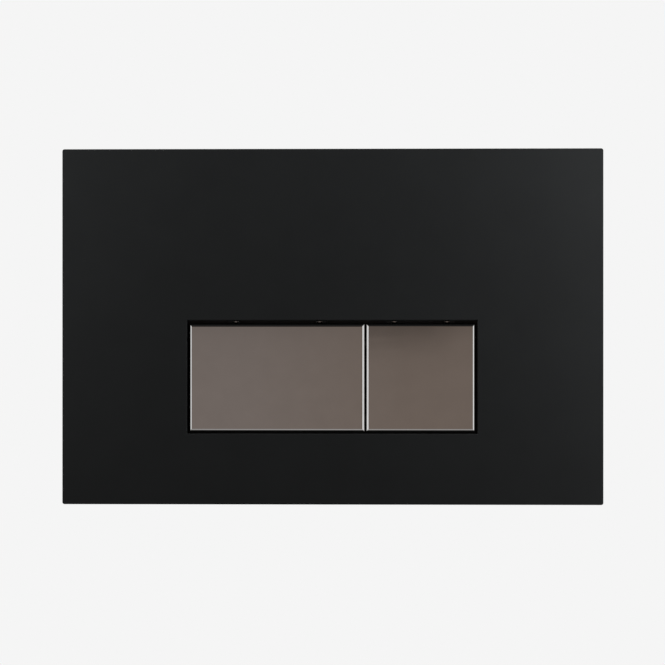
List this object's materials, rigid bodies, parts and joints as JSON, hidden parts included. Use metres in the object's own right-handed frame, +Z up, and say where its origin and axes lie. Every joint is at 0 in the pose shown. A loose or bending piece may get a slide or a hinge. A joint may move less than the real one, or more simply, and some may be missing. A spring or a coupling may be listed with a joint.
{
  "type": "flush button plate",
  "caption": "Rectangular matt black wall plate for a concealed cistern, with a wide and a narrow chromed rocker button that drive push rods.",
  "frame": {"origin": "centre of the plate on the finished wall, midway between the fixing studs", "axes": "+X to the viewer's right, +Y into the wall, +Z up"},
  "size_m": [0.246, 0.0734, 0.1616],
  "materials": {
    "cover_black": "matt, finely textured",
    "button_chrome": "bright chrome plating",
    "carrier_black": "moulded",
    "bright_steel": "zinc plated",
    "spring_steel": "drawn wire",
    "bumper_rubber": "matt",
    "frame_white": "moulded",
    "rod_grey": "moulded",
    "grip_grey": "moulded",
    "guide_white": "moulded"
  },
  "bodies": {
    "plate": {"cover_plate": "cover_black", "button_carrier": "carrier_black", "mounting_frame": "frame_white", "full_rod_guide": "guide_white", "full_hinge_pin_left": "bright_steel", "full_return_spring_left": "spring_steel", "full_bumper_left": "bumper_rubber", "full_hinge_pin_right": "bright_steel", "full_return_spring_right": "spring_steel", "full_bumper_right": "bumper_rubber", "half_rod_guide": "guide_white", "half_hinge_pin_left": "bright_steel", "half_return_spring_left": "spring_steel", "half_bumper_left": "bumper_rubber", "half_hinge_pin_right": "bright_steel", "half_return_spring_right": "spring_steel", "half_bumper_right": "bumper_rubber", "fixing_stud_left": "rod_grey", "fixing_nut_left": "grip_grey", "fixing_stud_right": "rod_grey", "fixing_nut_right": "grip_grey"},
    "full_button": {"full_flush_button": "button_chrome"},
    "half_button": {"half_flush_button": "button_chrome"},
    "full_rod": {"full_push_rod": "rod_grey", "full_rod_cap": "grip_grey"},
    "half_rod": {"half_push_rod": "rod_grey", "half_rod_cap": "grip_grey"}
  },
  "joints": [
    {"name": "full_button_hinge", "type": "hinge", "parent": "plate", "child": "full_button", "pos_m": [-0.025, -0.0023, 0.00235], "axis": [1, 0, 0], "range_deg": [0, 8], "stiffness_Nm_per_rad": 0.52, "springref_deg": -14.32, "deforming": ["full_return_spring_left", "full_return_spring_right"]},
    {"name": "full_rod_slide", "type": "slide", "parent": "plate", "child": "full_rod", "axis": [0, 1, 0], "range_m": [0, 0.00546]},
    {"name": "half_button_hinge", "type": "hinge", "parent": "plate", "child": "half_button", "pos_m": [0.04015, -0.0023, 0.00235], "axis": [1, 0, 0], "range_deg": [0, 8], "stiffness_Nm_per_rad": 0.52, "springref_deg": -14.32, "deforming": ["half_return_spring_left", "half_return_spring_right"]},
    {"name": "half_rod_slide", "type": "slide", "parent": "plate", "child": "half_rod", "axis": [0, 1, 0], "range_m": [0, 0.00546]}
  ],
  "couplings": [
    {"joint": "full_rod_slide", "follows": "full_button_hinge", "m_per_rad": 0.03842},
    {"joint": "half_rod_slide", "follows": "half_button_hinge", "m_per_rad": 0.03842}
  ]
}
